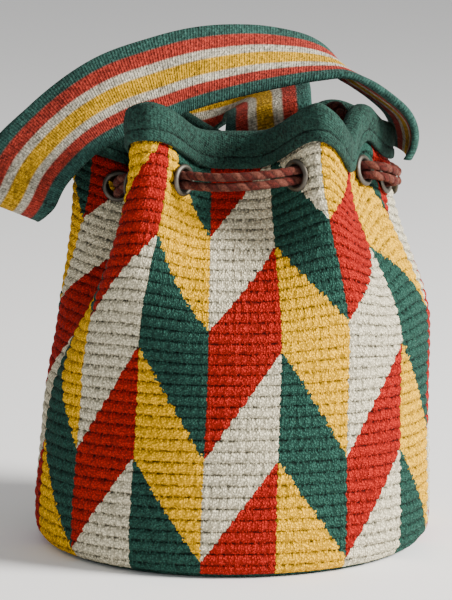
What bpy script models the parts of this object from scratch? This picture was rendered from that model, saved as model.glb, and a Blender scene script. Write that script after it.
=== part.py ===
"""A Wayuu mochila: a gathered crochet bag with a folded rim, eyelets, a drawstring and a woven strap.

Lengths are millimetres. The front of the bag is -Y, and the origin is the middle of its base.
"""

import math

import bmesh
import bpy
import numpy as np
from mathutils import Matrix, Vector
from mathutils.geometry import interpolate_bezier

MM = 0.001
GAP = 0.3  # what touching pieces keep between them

# Crochet
COLUMNS = 16  # colour columns around the bag
COLUMN_STITCHES = 9
STITCH = 4.375
ROW = 6.0
ROWS = 39  # rows from the base to the rim band
AROUND = COLUMNS * COLUMN_STITCHES * STITCH  # the fabric's length around the bag
WALL = 3.6
RIDGE = 0.8  # how far a row stands out from the groove under it

# Body: an oval tube that narrows a little at its middle
HALF_WIDTH = 107.0
HALF_DEPTH = 93.0
FRONT_ROUNDING = 8.0  # the base's edge, at the front and at the sides
SIDE_ROUNDING = 13.0
BASE = 5.0
WAIST = ((0, 1.0), (25, 1.0), (84, 0.967), (112, 0.962), (140, 0.975), (170, 0.972), (250, 0.97))
LEAN = 4.0  # how far the upper body stands to the right

# Mouth: the gathered outline seen from above, as x, y and the rim's height, from the front valley
MOUTH = (
    (2, -37, 228),
    (17, -42, 228),
    (27, -52, 235),
    (36, -63, 243),
    (44, -69, 248),
    (52, -66, 243),
    (58, -55, 232),
    (61, -42, 223),
    (64, -30, 236),
    (70, -17, 243),
    (77, -4, 231),
    (84, 9, 226),
    (86, 25, 225),
    (73, 36, 228),
    (66, 49, 233),
    (50, 56, 236),
    (34, 47, 223),
    (14, 43, 214),
    (-8, 48, 216),
    (-28, 59, 230),
    (-49, 58, 240),
    (-64, 40, 233),
    (-80, 27, 236),
    (-86, 8, 238),
    (-83, -8, 236),
    (-72, -18, 233),
    (-58, -18, 228),
    (-44, -17, 223),
    (-41, -32, 225),
    (-51, -47, 235),
    (-54, -64, 244),
    (-46, -74, 248),
    (-36, -72, 247),
    (-28, -61, 240),
    (-20, -48, 231),
    (-10, -40, 228),
)
GATHER_START = 20.0  # the row where the wall starts to leave its oval, for the mouth's outline
FOLD_START = 13.0  # the same for the deep fold on the left
FOLD_AT = -139.0
FOLD_REACH = 75.0
GATHER_END = 39.0
PULL_START = 12.0  # the row where the rows start to rise and fall with the rim

# Rim band, as offsets from the wall and depths below the rim
BAND_HEIGHT = 20.0
BAND = 2.4
BAND_OUT = RIDGE + GAP
BAND_TOP = 2.6
BAND_EDGE = 1.6  # rounding of the band's fold
TOP_GAP = 1.2  # between the wall's top edge and the fold of the band
SEAM_DEPTH = 13.5  # the stitched groove, below the rim
INNER_LEG = 17.0

# Eyelets, at their places along the fabric from the front valley
EYELET_AT = (-43.0, 46.0, 120.0, 152.0, 181.0, 213.0, 247.0, 305.0, -255.0, -218.0, -156.0, -107.0)
EYELET_ROW = 36.7
HOLE_RADIUS = 5.8
BARREL = 0.6
FLANGE_RADIUS = 8.5
WASHER_RADIUS = 7.6
FLANGE_HEIGHT = 1.7
SEATING = 0.9  # the flange and the washer stand this far off the facets they are pressed on
WASHER_HEIGHT = 1.0
FABRIC_HOLE = HOLE_RADIUS + BARREL + GAP + 0.2

# Drawstring: two cords side by side through the eyelets, knotted together at the back right
CORD = 4.5
CORD_GAP = 0.6
CORD_REACH = 5.5  # how far a cord runs straight on either side of an eyelet's middle
CORD_SAG = 1.5
KNOT_AT = Vector((56.0, 26.0, 230.0))
KNOT_RADIUS = 6.0
KNOT_LEAVE = KNOT_RADIUS + GAP + 0.3
KNOT_EXITS = (((135, -45), (60, -45)), ((210, -45), (345, -45)))  # azimuth and elevation, each cord's ends
TAIL_EXITS = ((215, 15), (285, 5))
TAIL_LENGTH = 40.0
TAIL_BEND = 9.0

# Strap: its near edge, its far edge and how far it is bowed across, from the right end to the back
STRAP_WIDTH = 50.0
STRAP = 4.0
STRAP_EDGE = 1.2  # rounding along its edges
STRAP_ROUTE = (
    ((93, -12, 209), (90, 38, 210), 4),
    ((97, -13, 216), (88, 37, 220), 4),
    ((98, -15, 225), (83, 36, 230), 3),
    ((95, -17, 234), (73, 34, 239), 1),
    ((87, -18, 242), (63, 33, 246), 0),
    ((75, -18, 250), (56, 31, 251), 0),
    ((61, -18, 255), (54, 29, 260), 0),
    ((47, -18, 254), (47, 27, 267), 0),
    ((31, -19, 251), (34, 24, 273), 0),
    ((10, -21, 246), (10, 17, 278), 0),
    ((-17, -24, 239), (-18, 6, 278), 0),
    ((-34, -27, 233), (-45, 0, 272), 0),
    ((-54, -32, 227), (-72, -6, 262), 0),
    ((-72, -38, 217), (-99, -10, 244), 0),
    ((-87, -42, 201), (-124, -17, 220), 0),
    ((-93, -44, 187), (-138, -21, 198), 0),
    ((-99, -34, 180), (-144, -7, 193), 0),
    ((-105, -13, 180), (-136, 10, 203), 0),
    ((-107, 16, 184), (-119, 32, 221), 0),
    ((-98, 48, 192), (-98, 54, 237), 0),
    ((-74, 74, 198), (-72, 76, 245), 0),
    ((-44, 86, 200), (-42, 88, 248), 0),
    ((-18, 88, 207), (-8, 90, 252), 0),
    ((-6, 84, 216), (26, 87, 251), 0),
    ((-5, 70, 222), (42, 72, 246), 0),
    ((-5, 55, 222), (45, 57, 243), 0),
    ((-5, 43, 219), (45, 46, 236), -2),
    ((-5, 38, 213), (45, 41, 225), -4),
    ((-5, 38, 206), (45, 41, 208), -4),
)
STRAP_STATIONS = 72

SEGMENTS = 60  # facets around the bag


def clear_scene():
    for item in list(bpy.data.objects):
        bpy.data.objects.remove(item, do_unlink=True)


def material(name, colour, roughness, metallic=0.0):
    made = bpy.data.materials.new(name)
    made.use_nodes = True
    shader = made.node_tree.nodes["Principled BSDF"]
    shader.inputs["Base Color"].default_value = (*colour, 1.0)
    shader.inputs["Roughness"].default_value = roughness
    shader.inputs["Metallic"].default_value = metallic
    return made


def add_object(name, mesh_data, finish):
    """Put a bmesh built in millimetres into the scene as an object in metres."""
    bmesh.ops.scale(mesh_data, vec=(MM, MM, MM), verts=mesh_data.verts)
    bmesh.ops.recalc_face_normals(mesh_data, faces=mesh_data.faces)
    data = bpy.data.meshes.new(name)
    mesh_data.to_mesh(data)
    mesh_data.free()
    data.materials.append(finish)
    made = bpy.data.objects.new(name, data)
    bpy.context.collection.objects.link(made)
    return made


def smooth_loop(points, samples=40):
    """A closed cubic B-spline guided by the points, with the arc length along it."""
    p = np.array(points, float)[:, None]
    before, after, beyond = np.roll(p, 1, 0), np.roll(p, -1, 0), np.roll(p, -2, 0)
    t = (np.arange(samples) / samples)[None, :, None]
    dense = (
        (1 - t) ** 3 * before
        + (3 * t**3 - 6 * t**2 + 4) * p
        + (-3 * t**3 + 3 * t**2 + 3 * t + 1) * after
        + t**3 * beyond
    ).reshape(-1, p.shape[2]) / 6
    return by_length(np.vstack([dense, dense[:1]]))


def by_length(dense):
    """Arc length as a share of the whole, with the points it belongs to."""
    steps = np.linalg.norm(np.diff(dense[:, :2], axis=0), axis=1)
    share = np.concatenate([[0], np.cumsum(steps)])
    return share / share[-1], dense


def read(curve, share):
    share = np.mod(share, 1.0)
    return np.array([np.interp(share, curve[0], curve[1][:, k]) for k in range(curve[1].shape[1])])


def ellipse():
    turn = np.linspace(0, 2 * math.pi, 1441)
    return by_length(np.stack([HALF_WIDTH * np.sin(turn), -HALF_DEPTH * np.cos(turn)], 1))


OVAL = ellipse()
OUTLINE = smooth_loop(MOUTH)


def ease(x):
    x = min(max(x, 0.0), 1.0)
    return x * x * (3 - 2 * x)


def gather(share, row):
    """How much the wall follows the mouth's outline, from 0 to 1."""
    away = abs((share - FOLD_AT / AROUND + 0.5) % 1.0 - 0.5) * AROUND
    start = GATHER_START + (FOLD_START - GATHER_START) * ease(1 - away / FOLD_REACH)
    return ease((row - start) / (GATHER_END - start))


def plan(share, row, z):
    x, y = read(OVAL, share)
    waist = np.interp(z, *zip(*WAIST))
    x = x * waist + LEAN * ease(z / 140)
    y = y * waist
    mouth_x, mouth_y, _ = read(OUTLINE, share)
    w = gather(share, row)
    return Vector((x + (mouth_x - x) * w, y + (mouth_y - y) * w))


def rim_height(share):
    return float(read(OUTLINE, share)[2])


def rounding(share):
    side = math.sin(2 * math.pi * share) ** 2
    return FRONT_ROUNDING + (SIDE_ROUNDING - FRONT_ROUNDING) * side


def height_and_inset(share, row):
    """The height of a row, and how far the rounded base edge has drawn it in."""
    radius = rounding(share)
    arc = row * ROW
    if arc < radius * math.pi / 2:
        turn = arc / radius
        return radius * (1 - math.cos(turn)), radius * (1 - math.sin(turn))
    z = arc - radius * (math.pi / 2 - 1)
    top = ROWS * ROW - radius * (math.pi / 2 - 1)
    pull = ease((row - PULL_START) / (ROWS - PULL_START))
    return z + (rim_height(share) - BAND_HEIGHT - top) * pull * z / top, 0.0


def normal(share, row, z):
    step = 0.004
    along = plan(share + step, row, z) - plan(share - step, row, z)
    return Vector((along.y, -along.x)).normalized()


def wall(share, row, offset=0.0):
    """The point of the wall at a share of the way round and a row, offset outwards."""
    z, inset = height_and_inset(share, row)
    at = plan(share, row, z) + normal(share, row, z) * (offset - inset)
    return Vector((at.x, at.y, z))


def rim(share, offset, below):
    """A point beside the rim, offset outwards from the wall and below the rim's top."""
    z = rim_height(share) - below
    at = plan(share, ROWS, z) + normal(share, ROWS, z) * offset
    return Vector((at.x, at.y, z))


def ring_mesh(profile, closed):
    """Sweep a profile of point functions round the bag; the profile itself may be closed."""
    count = len(profile)
    built = bmesh.new()
    spans = count if closed else count - 1
    bmesh.ops.create_grid(built, x_segments=SEGMENTS, y_segments=spans, size=1.0)
    for vertex in built.verts:
        share = round((vertex.co.x + 1) / 2 * SEGMENTS) % SEGMENTS / SEGMENTS
        step = round((vertex.co.y + 1) / 2 * spans) % count
        vertex.co = profile[step](share)
    bmesh.ops.remove_doubles(built, verts=built.verts, dist=0.001)
    return built


def row_point(row, offset):
    return lambda share: wall(share, row, offset)


def rim_point(offset, below):
    return lambda share: rim(share, offset, below)


def base_inside(share):
    """The ring where the inner wall meets the inner face of the base."""
    z = BASE
    at = plan(share, 0, z) - normal(share, 0, z) * (rounding(share) + WALL)
    return Vector((at.x, at.y, z))


def crochet_bag(finish):
    profile = []
    for row in range(ROWS):
        profile.append(row_point(row, 0.0))
        profile.append(row_point(row + 0.5, RIDGE))
    profile.append(rim_point(0.0, BAND_HEIGHT))
    profile.append(rim_point(0.0, BAND_TOP + TOP_GAP))
    profile.append(rim_point(-WALL, BAND_TOP + TOP_GAP))
    for row in (ROWS, 35, 31, 27, 22, 17, 12, 8):
        profile.append(row_point(row, -WALL))
    profile.append(base_inside)
    built = ring_mesh(profile, closed=False)
    open_edges = [edge for edge in built.edges if edge.is_boundary]
    bmesh.ops.holes_fill(built, edges=open_edges, sides=0)
    return add_object("bag_body", built, finish)


def rim_band(finish):
    inner = -WALL - GAP
    outer = BAND_OUT + BAND
    profile = [
        rim_point(BAND_OUT, BAND_HEIGHT - GAP),
        rim_point(outer - 0.3, BAND_HEIGHT - GAP),
        rim_point(outer, SEAM_DEPTH + 1.0),
        rim_point(outer - 0.8, SEAM_DEPTH),
        rim_point(outer, SEAM_DEPTH - 1.0),
        rim_point(outer - 0.2, BAND_TOP),
        rim_point(outer - BAND_EDGE, 0.7),
        rim_point(-WALL / 2, 0.0),
        rim_point(inner - BAND + BAND_EDGE, 0.7),
        rim_point(inner - BAND + 0.2, BAND_TOP),
        rim_point(inner - BAND, INNER_LEG),
        rim_point(inner, INNER_LEG),
        rim_point(inner, BAND_TOP),
        rim_point(BAND_OUT, BAND_TOP),
    ]
    return add_object("rim_band", ring_mesh(profile, closed=True), finish)


def eyelet_frame(place):
    """Where an eyelet sits: the wall's point and outward normal, and the reach of both faces."""
    share = place / AROUND
    middle = wall(share, EYELET_ROW)
    along = wall(share + 0.006, EYELET_ROW) - wall(share - 0.006, EYELET_ROW)
    up = wall(share, EYELET_ROW + 1) - wall(share, EYELET_ROW - 1)
    out = along.cross(up).normalized()
    high, low = 0.0, 0.0
    for ring in (0.5, 1.0):
        for step in range(12):
            turn = 2 * math.pi * step / 12
            aside = share + ring * FLANGE_RADIUS * math.cos(turn) / AROUND
            row = min(EYELET_ROW + ring * FLANGE_RADIUS * math.sin(turn) / ROW, ROWS)
            high = max(high, (wall(aside, row, RIDGE) - middle).dot(out))
            low = min(low, (wall(aside, row, -WALL) - middle).dot(out))
    return middle, out, high + SEATING, low - SEATING - 2 * GAP


def turned(name, profile, frame, finish):
    """Spin a closed profile of radius and height about an eyelet's axis."""
    middle, out = frame[:2]
    built = bmesh.new()
    ring = [built.verts.new((radius, 0, height)) for radius, height in profile]
    edges = [built.edges.new((ring[k - 1], ring[k])) for k in range(len(ring))]
    bmesh.ops.spin(
        built,
        geom=ring + edges,
        cent=(0, 0, 0),
        axis=(0, 0, 1),
        angle=2 * math.pi,
        steps=12,
        use_merge=True,
    )
    bmesh.ops.remove_doubles(built, verts=built.verts, dist=0.001)
    spot = Matrix.Translation(middle) @ out.to_track_quat("Z", "Y").to_matrix().to_4x4()
    bmesh.ops.transform(built, matrix=spot, verts=built.verts)
    return add_object(name, built, finish)


def eyelets(frames, finish):
    for number, frame in enumerate(frames, 1):
        high, low = frame[2:]
        end = low - WASHER_HEIGHT - 2 * GAP
        outside = HOLE_RADIUS + BARREL
        profile = (
            (outside, end),
            (outside, high),
            (FLANGE_RADIUS, high),
            (FLANGE_RADIUS, high + 0.6),
            (outside + 0.6, high + FLANGE_HEIGHT),
            (HOLE_RADIUS, high + 1.0),
            (HOLE_RADIUS, end),
        )
        turned(f"eyelet_{number}", profile, frame, finish)
        inside = outside + GAP
        washer = (
            (inside, low),
            (WASHER_RADIUS, low),
            (WASHER_RADIUS, low - WASHER_HEIGHT),
            (inside, low - WASHER_HEIGHT),
        )
        turned(f"eyelet_washer_{number}", washer, frame, finish)


def punch(bag, frames):
    """Cut the eyelets' holes through the wall."""
    built = bmesh.new()
    for middle, out, high, low in frames:
        spot = Matrix.Translation(middle + out * (high + low) / 2)
        spot = spot @ out.to_track_quat("Z", "Y").to_matrix().to_4x4()
        bmesh.ops.create_cone(
            built,
            cap_ends=True,
            segments=12,
            radius1=FABRIC_HOLE,
            radius2=FABRIC_HOLE,
            depth=high - low + WALL,
            matrix=spot,
        )
    cutter = add_object("cutter", built, bag.data.materials[0])
    cut = bag.modifiers.new("eyelet holes", "BOOLEAN")
    cut.operation = "DIFFERENCE"
    cut.solver = "EXACT"
    cut.object = cutter
    bpy.context.view_layer.objects.active = bag
    bpy.ops.object.modifier_apply(modifier=cut.name)
    bpy.data.objects.remove(cutter, do_unlink=True)


def spline_through(points, count):
    """Even points along a smooth open curve through the given ones."""
    p = np.array([tuple(v) for v in points])
    p = np.vstack([2 * p[0] - p[1], p, 2 * p[-1] - p[-2]])
    t = (np.arange(30) / 30)[None, :, None]
    a, b, c, d = p[:-3, None], p[1:-2, None], p[2:-1, None], p[3:, None]
    dense = 0.5 * (2 * b + (c - a) * t + (2 * a - 5 * b + 4 * c - d) * t**2 + (3 * b - a - 3 * c + d) * t**3)
    dense = np.vstack([dense.reshape(-1, p.shape[1]), p[-2][None]])
    far = np.concatenate([[0], np.cumsum(np.linalg.norm(np.diff(dense, axis=0), axis=1))])
    at = np.linspace(0, far[-1], count)
    return np.array([np.interp(at, far, dense[:, k]) for k in range(p.shape[1])]).T


def tube(name, points, diameter, finish):
    curve = bpy.data.curves.new(name, "CURVE")
    curve.dimensions = "3D"
    curve.bevel_depth = diameter / 2 * MM
    curve.bevel_resolution = 2
    curve.use_fill_caps = True
    line = curve.splines.new("POLY")
    line.points.add(len(points) - 1)
    for spot, at in zip(line.points, points):
        spot.co = (at[0] * MM, at[1] * MM, at[2] * MM, 1.0)
    curve.materials.append(finish)
    made = bpy.data.objects.new(name, curve)
    bpy.context.collection.objects.link(made)
    return made


def direction(azimuth, elevation):
    level = math.cos(math.radians(elevation))
    return Vector(
        (
            level * math.cos(math.radians(azimuth)),
            level * math.sin(math.radians(azimuth)),
            math.sin(math.radians(elevation)),
        )
    )


def bend(start, leaving, end, arriving, count):
    """Points of a smooth bend between two places, without the places themselves."""
    handle = (end - start).length * 0.36
    sag = Vector((0, 0, -CORD_SAG))
    first, second = start + leaving * handle + sag, end - arriving * handle + sag
    return interpolate_bezier(start, first, second, end, count + 2)[1:-1]


def through_eyelets(frames):
    """Once round the bag, in and out of every eyelet, midway between the two cords."""
    places = sorted(range(len(frames)), key=lambda k: (EYELET_AT[k] - EYELET_AT[6]) % AROUND)
    points, ways = [], []
    for turn, number in enumerate(places):
        middle, out, high, low = frames[number]
        way = out if turn % 2 == 0 else -out
        centre = middle + out * (high + low) / 2
        if points:
            points += bend(points[-1], ways[-1], centre - way * CORD_REACH, way, 3)
        points += [centre - way * CORD_REACH, centre + way * CORD_REACH]
        ways.append(way)
    return points, ways[0], ways[-1]


def beside(points, offset):
    """The same route, moved up at right angles to its own direction."""
    moved = []
    for k in range(len(points)):
        along = Vector(points[min(k + 1, len(points) - 1)]) - Vector(points[max(k - 1, 0)])
        aside = along.cross(Vector((0, 0, 1)))
        moved.append(Vector(points[k]) + aside.cross(along).normalized() * offset)
    return moved


def drawstring(frames, finish):
    shared, first_way, last_way = through_eyelets(frames)
    for number, (rise, exits) in enumerate(zip((1, -1), KNOT_EXITS), 1):
        start, end = (direction(*angles) for angles in exits)
        leave, arrive = KNOT_AT + start * KNOT_LEAVE, KNOT_AT + end * KNOT_LEAVE
        lap = beside(shared, rise * (CORD + CORD_GAP) / 2)
        route = [leave, *bend(leave, start, lap[0], first_way, 3), *lap]
        route += [*bend(lap[-1], last_way, arrive, -end, 3), arrive]
        tube(f"drawstring_{number}", route, CORD, finish)
    for number, angles in enumerate(TAIL_EXITS, 1):
        out = direction(*angles)
        start = KNOT_AT + out * KNOT_LEAVE
        elbow = start + out * TAIL_BEND
        fall = TAIL_LENGTH - 1.6 * TAIL_BEND
        route = [
            start,
            start + out * TAIL_BEND * 0.5,
            elbow + Vector((0, 0, -TAIL_BEND * 0.45)),
            elbow + out + Vector((0, 0, -TAIL_BEND * 1.2)),
            elbow + out + Vector((0, 0, -fall)),
        ]
        tube(f"drawstring_tail_{number}", spline_through(route, 9), CORD, finish)
    built = bmesh.new()
    bmesh.ops.create_icosphere(built, subdivisions=2, radius=KNOT_RADIUS)
    bmesh.ops.translate(built, vec=KNOT_AT, verts=built.verts)
    add_object("drawstring_knot", built, finish)


def strap(finish):
    """A ribbon swept along the route, bowed across where it is sewn to the rim."""
    rows = [(*near, *far, bow) for near, far, bow in STRAP_ROUTE]
    half, thick, edge = STRAP_WIDTH / 2, STRAP / 2, STRAP_EDGE
    section = [
        (-half, -thick + edge),
        (-half + edge, -thick),
        (0, -thick),
        (half - edge, -thick),
        (half, -thick + edge),
        (half, thick - edge),
        (half - edge, thick),
        (0, thick),
        (-half + edge, thick),
        (-half, thick - edge),
    ]
    stations = spline_through(rows, STRAP_STATIONS)
    middles = [Vector(s[:3]) / 2 + Vector(s[3:6]) / 2 for s in stations]
    built = bmesh.new()
    rings = []
    for k, s in enumerate(stations):
        across = (Vector(s[3:6]) - Vector(s[:3])).normalized()
        along = middles[min(k + 1, len(stations) - 1)] - middles[max(k - 1, 0)]
        up = across.cross(along).normalized()
        ring = []
        for x, y in section:
            bow = s[6] * (1 - (x / half) ** 2)
            ring.append(built.verts.new(middles[k] + across * x + up * (y + bow)))
        rings.append(ring)
    loops = [
        [built.edges.new((ring[i - 1], ring[i])) for i in range(len(ring))] for ring in rings
    ]
    for one, two in zip(loops, loops[1:]):
        bmesh.ops.bridge_loops(built, edges=one + two)
    built.faces.new(rings[0])
    built.faces.new(rings[-1])
    add_object("shoulder_strap", built, finish)


def main():
    clear_scene()
    yarn = material("crochet cotton", (0.05, 0.16, 0.13), 0.9)
    teal = material("teal rim band", (0.06, 0.2, 0.16), 0.85)
    metal = material("nickel", (0.75, 0.72, 0.66), 0.3, 1.0)
    bag = crochet_bag(yarn)
    rim_band(teal)
    frames = [eyelet_frame(place) for place in EYELET_AT]
    punch(bag, frames)
    eyelets(frames, metal)
    drawstring(frames, material("drawstring cotton", (0.35, 0.06, 0.04), 0.85))
    strap(material("strap cotton", (0.5, 0.38, 0.12), 0.9))


main()
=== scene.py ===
# %% [markdown]
# # A crochet shoulder bag, one piece at a time
# The bag is a tall bucket of thick cotton crochet. Its mouth is gathered by a doubled cord that runs
# through metal eyelets, a teal band is folded over the rim, and a striped woven strap lies over it.
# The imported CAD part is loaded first. Every piece below is shaped around it, in metres.

import math

import bmesh
import bpy
import numpy as np
from mathutils import Matrix, Vector
from mathutils.geometry import interpolate_bezier


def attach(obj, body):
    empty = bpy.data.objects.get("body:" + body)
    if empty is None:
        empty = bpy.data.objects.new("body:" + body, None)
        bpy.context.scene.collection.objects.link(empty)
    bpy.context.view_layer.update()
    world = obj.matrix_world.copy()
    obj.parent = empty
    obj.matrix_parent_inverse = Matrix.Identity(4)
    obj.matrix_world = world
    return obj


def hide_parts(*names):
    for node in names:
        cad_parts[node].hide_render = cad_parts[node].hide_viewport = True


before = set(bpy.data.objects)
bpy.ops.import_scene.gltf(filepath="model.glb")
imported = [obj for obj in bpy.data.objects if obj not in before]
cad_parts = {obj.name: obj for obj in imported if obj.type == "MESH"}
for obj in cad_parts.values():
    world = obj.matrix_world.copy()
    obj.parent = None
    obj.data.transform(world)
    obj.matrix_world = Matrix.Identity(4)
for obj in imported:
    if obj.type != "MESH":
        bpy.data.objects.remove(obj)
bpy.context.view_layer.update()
MM = 0.001

# %% [markdown]
# ## Shader sums in plain Python
# A pattern such as crochet stripes is a sum over the surface's own coordinates. In the shader editor
# that takes dozens of Math nodes. Wrapping a socket in a class with overloaded operators lets the sum
# be read as one line, and each operator adds its node.


# %% A socket that can be used in sums
class Wire:
    def __init__(self, bench, socket):
        self.bench = bench
        self.socket = socket

    def __add__(self, other):
        return self.bench.maths("ADD", self, other)

    __radd__ = __add__

    def __sub__(self, other):
        return self.bench.maths("SUBTRACT", self, other)

    def __rsub__(self, other):
        return self.bench.maths("SUBTRACT", other, self)

    def __mul__(self, other):
        return self.bench.maths("MULTIPLY", self, other)

    __rmul__ = __mul__

    def __truediv__(self, other):
        return self.bench.maths("DIVIDE", self, other)

    def __pow__(self, other):
        return self.bench.maths("POWER", self, other)

    def __gt__(self, other):
        return self.bench.maths("GREATER_THAN", self, other)

    def __lt__(self, other):
        return self.bench.maths("LESS_THAN", self, other)


# %% A material's workbench
class Bench:
    """The node tree of one material, with one method that adds any node."""

    def __init__(self, name):
        self.material = bpy.data.materials.new(name)
        self.material.use_nodes = True
        self.tree = self.material.node_tree
        self.shader = self.tree.nodes["Principled BSDF"]

    def plug(self, socket, value):
        if isinstance(value, Wire):
            self.tree.links.new(value.socket, socket)
        elif isinstance(value, tuple) and socket.type == "RGBA" and len(value) == 3:
            socket.default_value = (*value, 1.0)
        else:
            socket.default_value = value

    def node(self, kind, settings=None, inputs=None, out=0):
        made = self.tree.nodes.new(kind)
        for name, value in (settings or {}).items():
            setattr(made, name, value)
        for name, value in (inputs or {}).items():
            self.plug(made.inputs[name], value)
        return Wire(self, made.outputs[out])

    def maths(self, operation, *values):
        return self.node("ShaderNodeMath", {"operation": operation}, dict(enumerate(values)))

    def mix(self, amount, first, second):
        """Two colours mixed: the inputs numbered 6 and 7 are the Mix node's colour sockets."""
        return self.node("ShaderNodeMix", {"data_type": "RGBA"}, {0: amount, 6: first, 7: second}, 2)

    def shaded(self, colour, amount):
        """A colour made darker or lighter by a wire, never below nothing."""
        amount = self.maths("MAXIMUM", amount, 0.02)
        return self.node("ShaderNodeVectorMath", {"operation": "SCALE"}, {0: colour, "Scale": amount})

    def knots_and_painted_shade(self, place, scale, loose=0.8):
        """Round knots, 0 in the gaps to about 1: bump, painted highlight on knots, painted shade in gaps."""
        settings = {"Vector": place, "Scale": scale, "Randomness": loose}
        return 1 - self.node("ShaderNodeTexVoronoi", {"feature": "F1"}, settings) * 1.5

    def noise(self, scale, detail=2.0, where=None):
        where = where or self.node("ShaderNodeTexCoord", out=3)
        settings = {"Scale": scale, "Detail": detail, "Vector": where}
        return self.node("ShaderNodeTexNoise", None, settings)

    def cloth_place(self, layer):
        """The two coordinates of a UV layer, as sockets."""
        place = self.node("ShaderNodeUVMap", {"uv_map": layer})
        return place, *(self.node("ShaderNodeSeparateXYZ", None, {0: place}, k) for k in (0, 1))

    def finish(self, colour, roughness, height=None, depth=0.001, metallic=0.0, sheen=0.0):
        self.plug(self.shader.inputs["Base Color"], colour)
        self.plug(self.shader.inputs["Roughness"], roughness)
        self.shader.inputs["Metallic"].default_value = metallic
        self.shader.inputs["Sheen Weight"].default_value = sheen
        self.shader.inputs["Sheen Roughness"].default_value = 0.6
        if metallic == 0.0:
            self.shader.inputs["Specular IOR Level"].default_value = 0.12
        if height is not None:
            bump = self.node("ShaderNodeBump", None, {"Height": height, "Distance": depth})
            self.plug(self.shader.inputs["Normal"], bump)
        return self.material


def tone(red, green, blue):
    """A colour as seen on a screen, from 0 to 255, made linear."""
    shares = (red / 255, green / 255, blue / 255)
    return tuple(c / 12.92 if c < 0.04045 else ((c + 0.055) / 1.055) ** 2.4 for c in shares)


GREEN = tone(38, 74, 64)
RED = tone(164, 28, 19)
YELLOW = tone(238, 180, 0)
WHITE = tone(218, 209, 180)
TEAL = tone(32, 60, 52)
WORN_GREEN = tone(48, 84, 76)
WORN_RED = tone(164, 54, 42)
WORN_YELLOW = tone(210, 160, 24)
WORN_WHITE = tone(200, 192, 172)
print("yarn colours", GREEN, RED, YELLOW, WHITE)

# %% [markdown]
# ## Camera, floor and light
# The photograph looks slightly down on the bag from about 1.7 m away, through a long lens. The studio is
# a pale floor under an even white sky. A soft lamp stands on the right, a little in front of the bag, so
# that each ridge of the crochet throws a small shadow. A weak one on the left opens the darkest shadows.

# %% Camera
CAMERA_PLACE = (0.0, -1.7, 0.44)
CAMERA_DOWN = 10.3  # degrees below the level
CAMERA_LEFT = 0.11  # degrees to the left of straight ahead
FOCAL_LENGTH = 191.5

lens = bpy.data.cameras.new("camera")
lens.sensor_width = 36.0
lens.lens = FOCAL_LENGTH
lens.clip_start = 0.05
camera = bpy.data.objects.new("camera", lens)
camera.location = CAMERA_PLACE
camera.rotation_euler = (math.radians(90 - CAMERA_DOWN), 0.0, math.radians(CAMERA_LEFT))
bpy.context.collection.objects.link(camera)
bpy.context.scene.camera = camera
print("camera at", tuple(camera.location))


# %% Floor and lamps
BAG_MIDDLE = (0.0, 0.0, 0.13)
SKY_LIGHT = 0.5


def lamp(name, place, size, power, colour):
    """A round lamp that faces the middle of the bag."""
    light = bpy.data.lights.new(name, "AREA")
    light.shape = "DISK"
    light.size = size
    light.energy = power
    light.color = colour
    made = bpy.data.objects.new(name, light)
    made.location = place
    made.rotation_euler = (Vector(BAG_MIDDLE) - Vector(place)).to_track_quat("-Z", "Y").to_euler()
    bpy.context.collection.objects.link(made)
    return made


floor_mesh = bmesh.new()
bmesh.ops.create_grid(floor_mesh, x_segments=1, y_segments=1, size=6.0)
floor_data = bpy.data.meshes.new("floor")
floor_mesh.to_mesh(floor_data)
floor_mesh.free()
floor = bpy.data.objects.new("floor", floor_data)
bpy.context.collection.objects.link(floor)
paper = Bench("pale paper")
floor_data.materials.append(paper.finish((0.95, 0.95, 0.95), 0.9))

world = bpy.data.worlds.new("studio")
world.use_nodes = True
world.node_tree.nodes["Background"].inputs["Color"].default_value = (1.0, 1.0, 1.0, 1.0)
world.node_tree.nodes["Background"].inputs["Strength"].default_value = SKY_LIGHT
bpy.context.scene.world = world
lamp("key", (1.8, -0.55, 1.15), size=0.7, power=142.0, colour=(1.0, 0.97, 0.92))
lamp("fill", (-1.4, -1.4, 0.9), size=1.2, power=2.0, colour=(0.94, 0.97, 1.0))
print("studio ready")

# %% [markdown]
# ## Making a surface from rings
# The body, the band, the cords and the strap are all lofts: rows of points, one row after another. A
# flat grid already has the right faces, so the grid's points are moved onto the rings, and the edges that
# meet are merged. The grid's own UVs become the cloth's coordinates: stitches or millimetres.


# %% A loft
def loft(name, rings, across, along, finish, closed_along=False):
    """Rings of points in millimetres, closed around. across and along are the cloth's coordinates."""
    count, around = rings.shape[:2]
    spans = count if closed_along else count - 1
    built = bmesh.new()
    built.loops.layers.uv.new("cloth")
    bmesh.ops.create_grid(built, x_segments=around, y_segments=spans, size=1.0, calc_uvs=True)
    data = bpy.data.meshes.new(name)
    built.to_mesh(data)
    built.free()
    place = np.empty(len(data.vertices) * 3, np.float32)
    data.vertices.foreach_get("co", place)
    place = place.reshape(-1, 3)
    column = np.rint((place[:, 0] + 1) / 2 * around).astype(int) % around
    row = np.rint((place[:, 1] + 1) / 2 * spans).astype(int) % count
    data.vertices.foreach_set("co", (rings[row, column] * MM).astype(np.float32).ravel())
    cloth = np.empty(len(data.loops) * 2, np.float32)
    data.uv_layers["cloth"].data.foreach_get("uv", cloth)
    cloth = cloth.reshape(-1, 2)
    first = np.interp(cloth[:, 0] * around, range(around + 1), across)
    second = np.interp(cloth[:, 1] * spans, range(spans + 1), along)
    data.uv_layers["cloth"].data.foreach_set("uv", np.stack([first, second], 1).astype(np.float32).ravel())
    built = bmesh.new()
    built.from_mesh(data)
    bmesh.ops.remove_doubles(built, verts=built.verts, dist=2e-6)
    ends = [edge for edge in built.edges if edge.is_boundary]
    if ends:
        bmesh.ops.holes_fill(built, edges=ends, sides=0)
    bmesh.ops.recalc_face_normals(built, faces=built.faces)
    return keep(name, built, finish, data)


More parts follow.
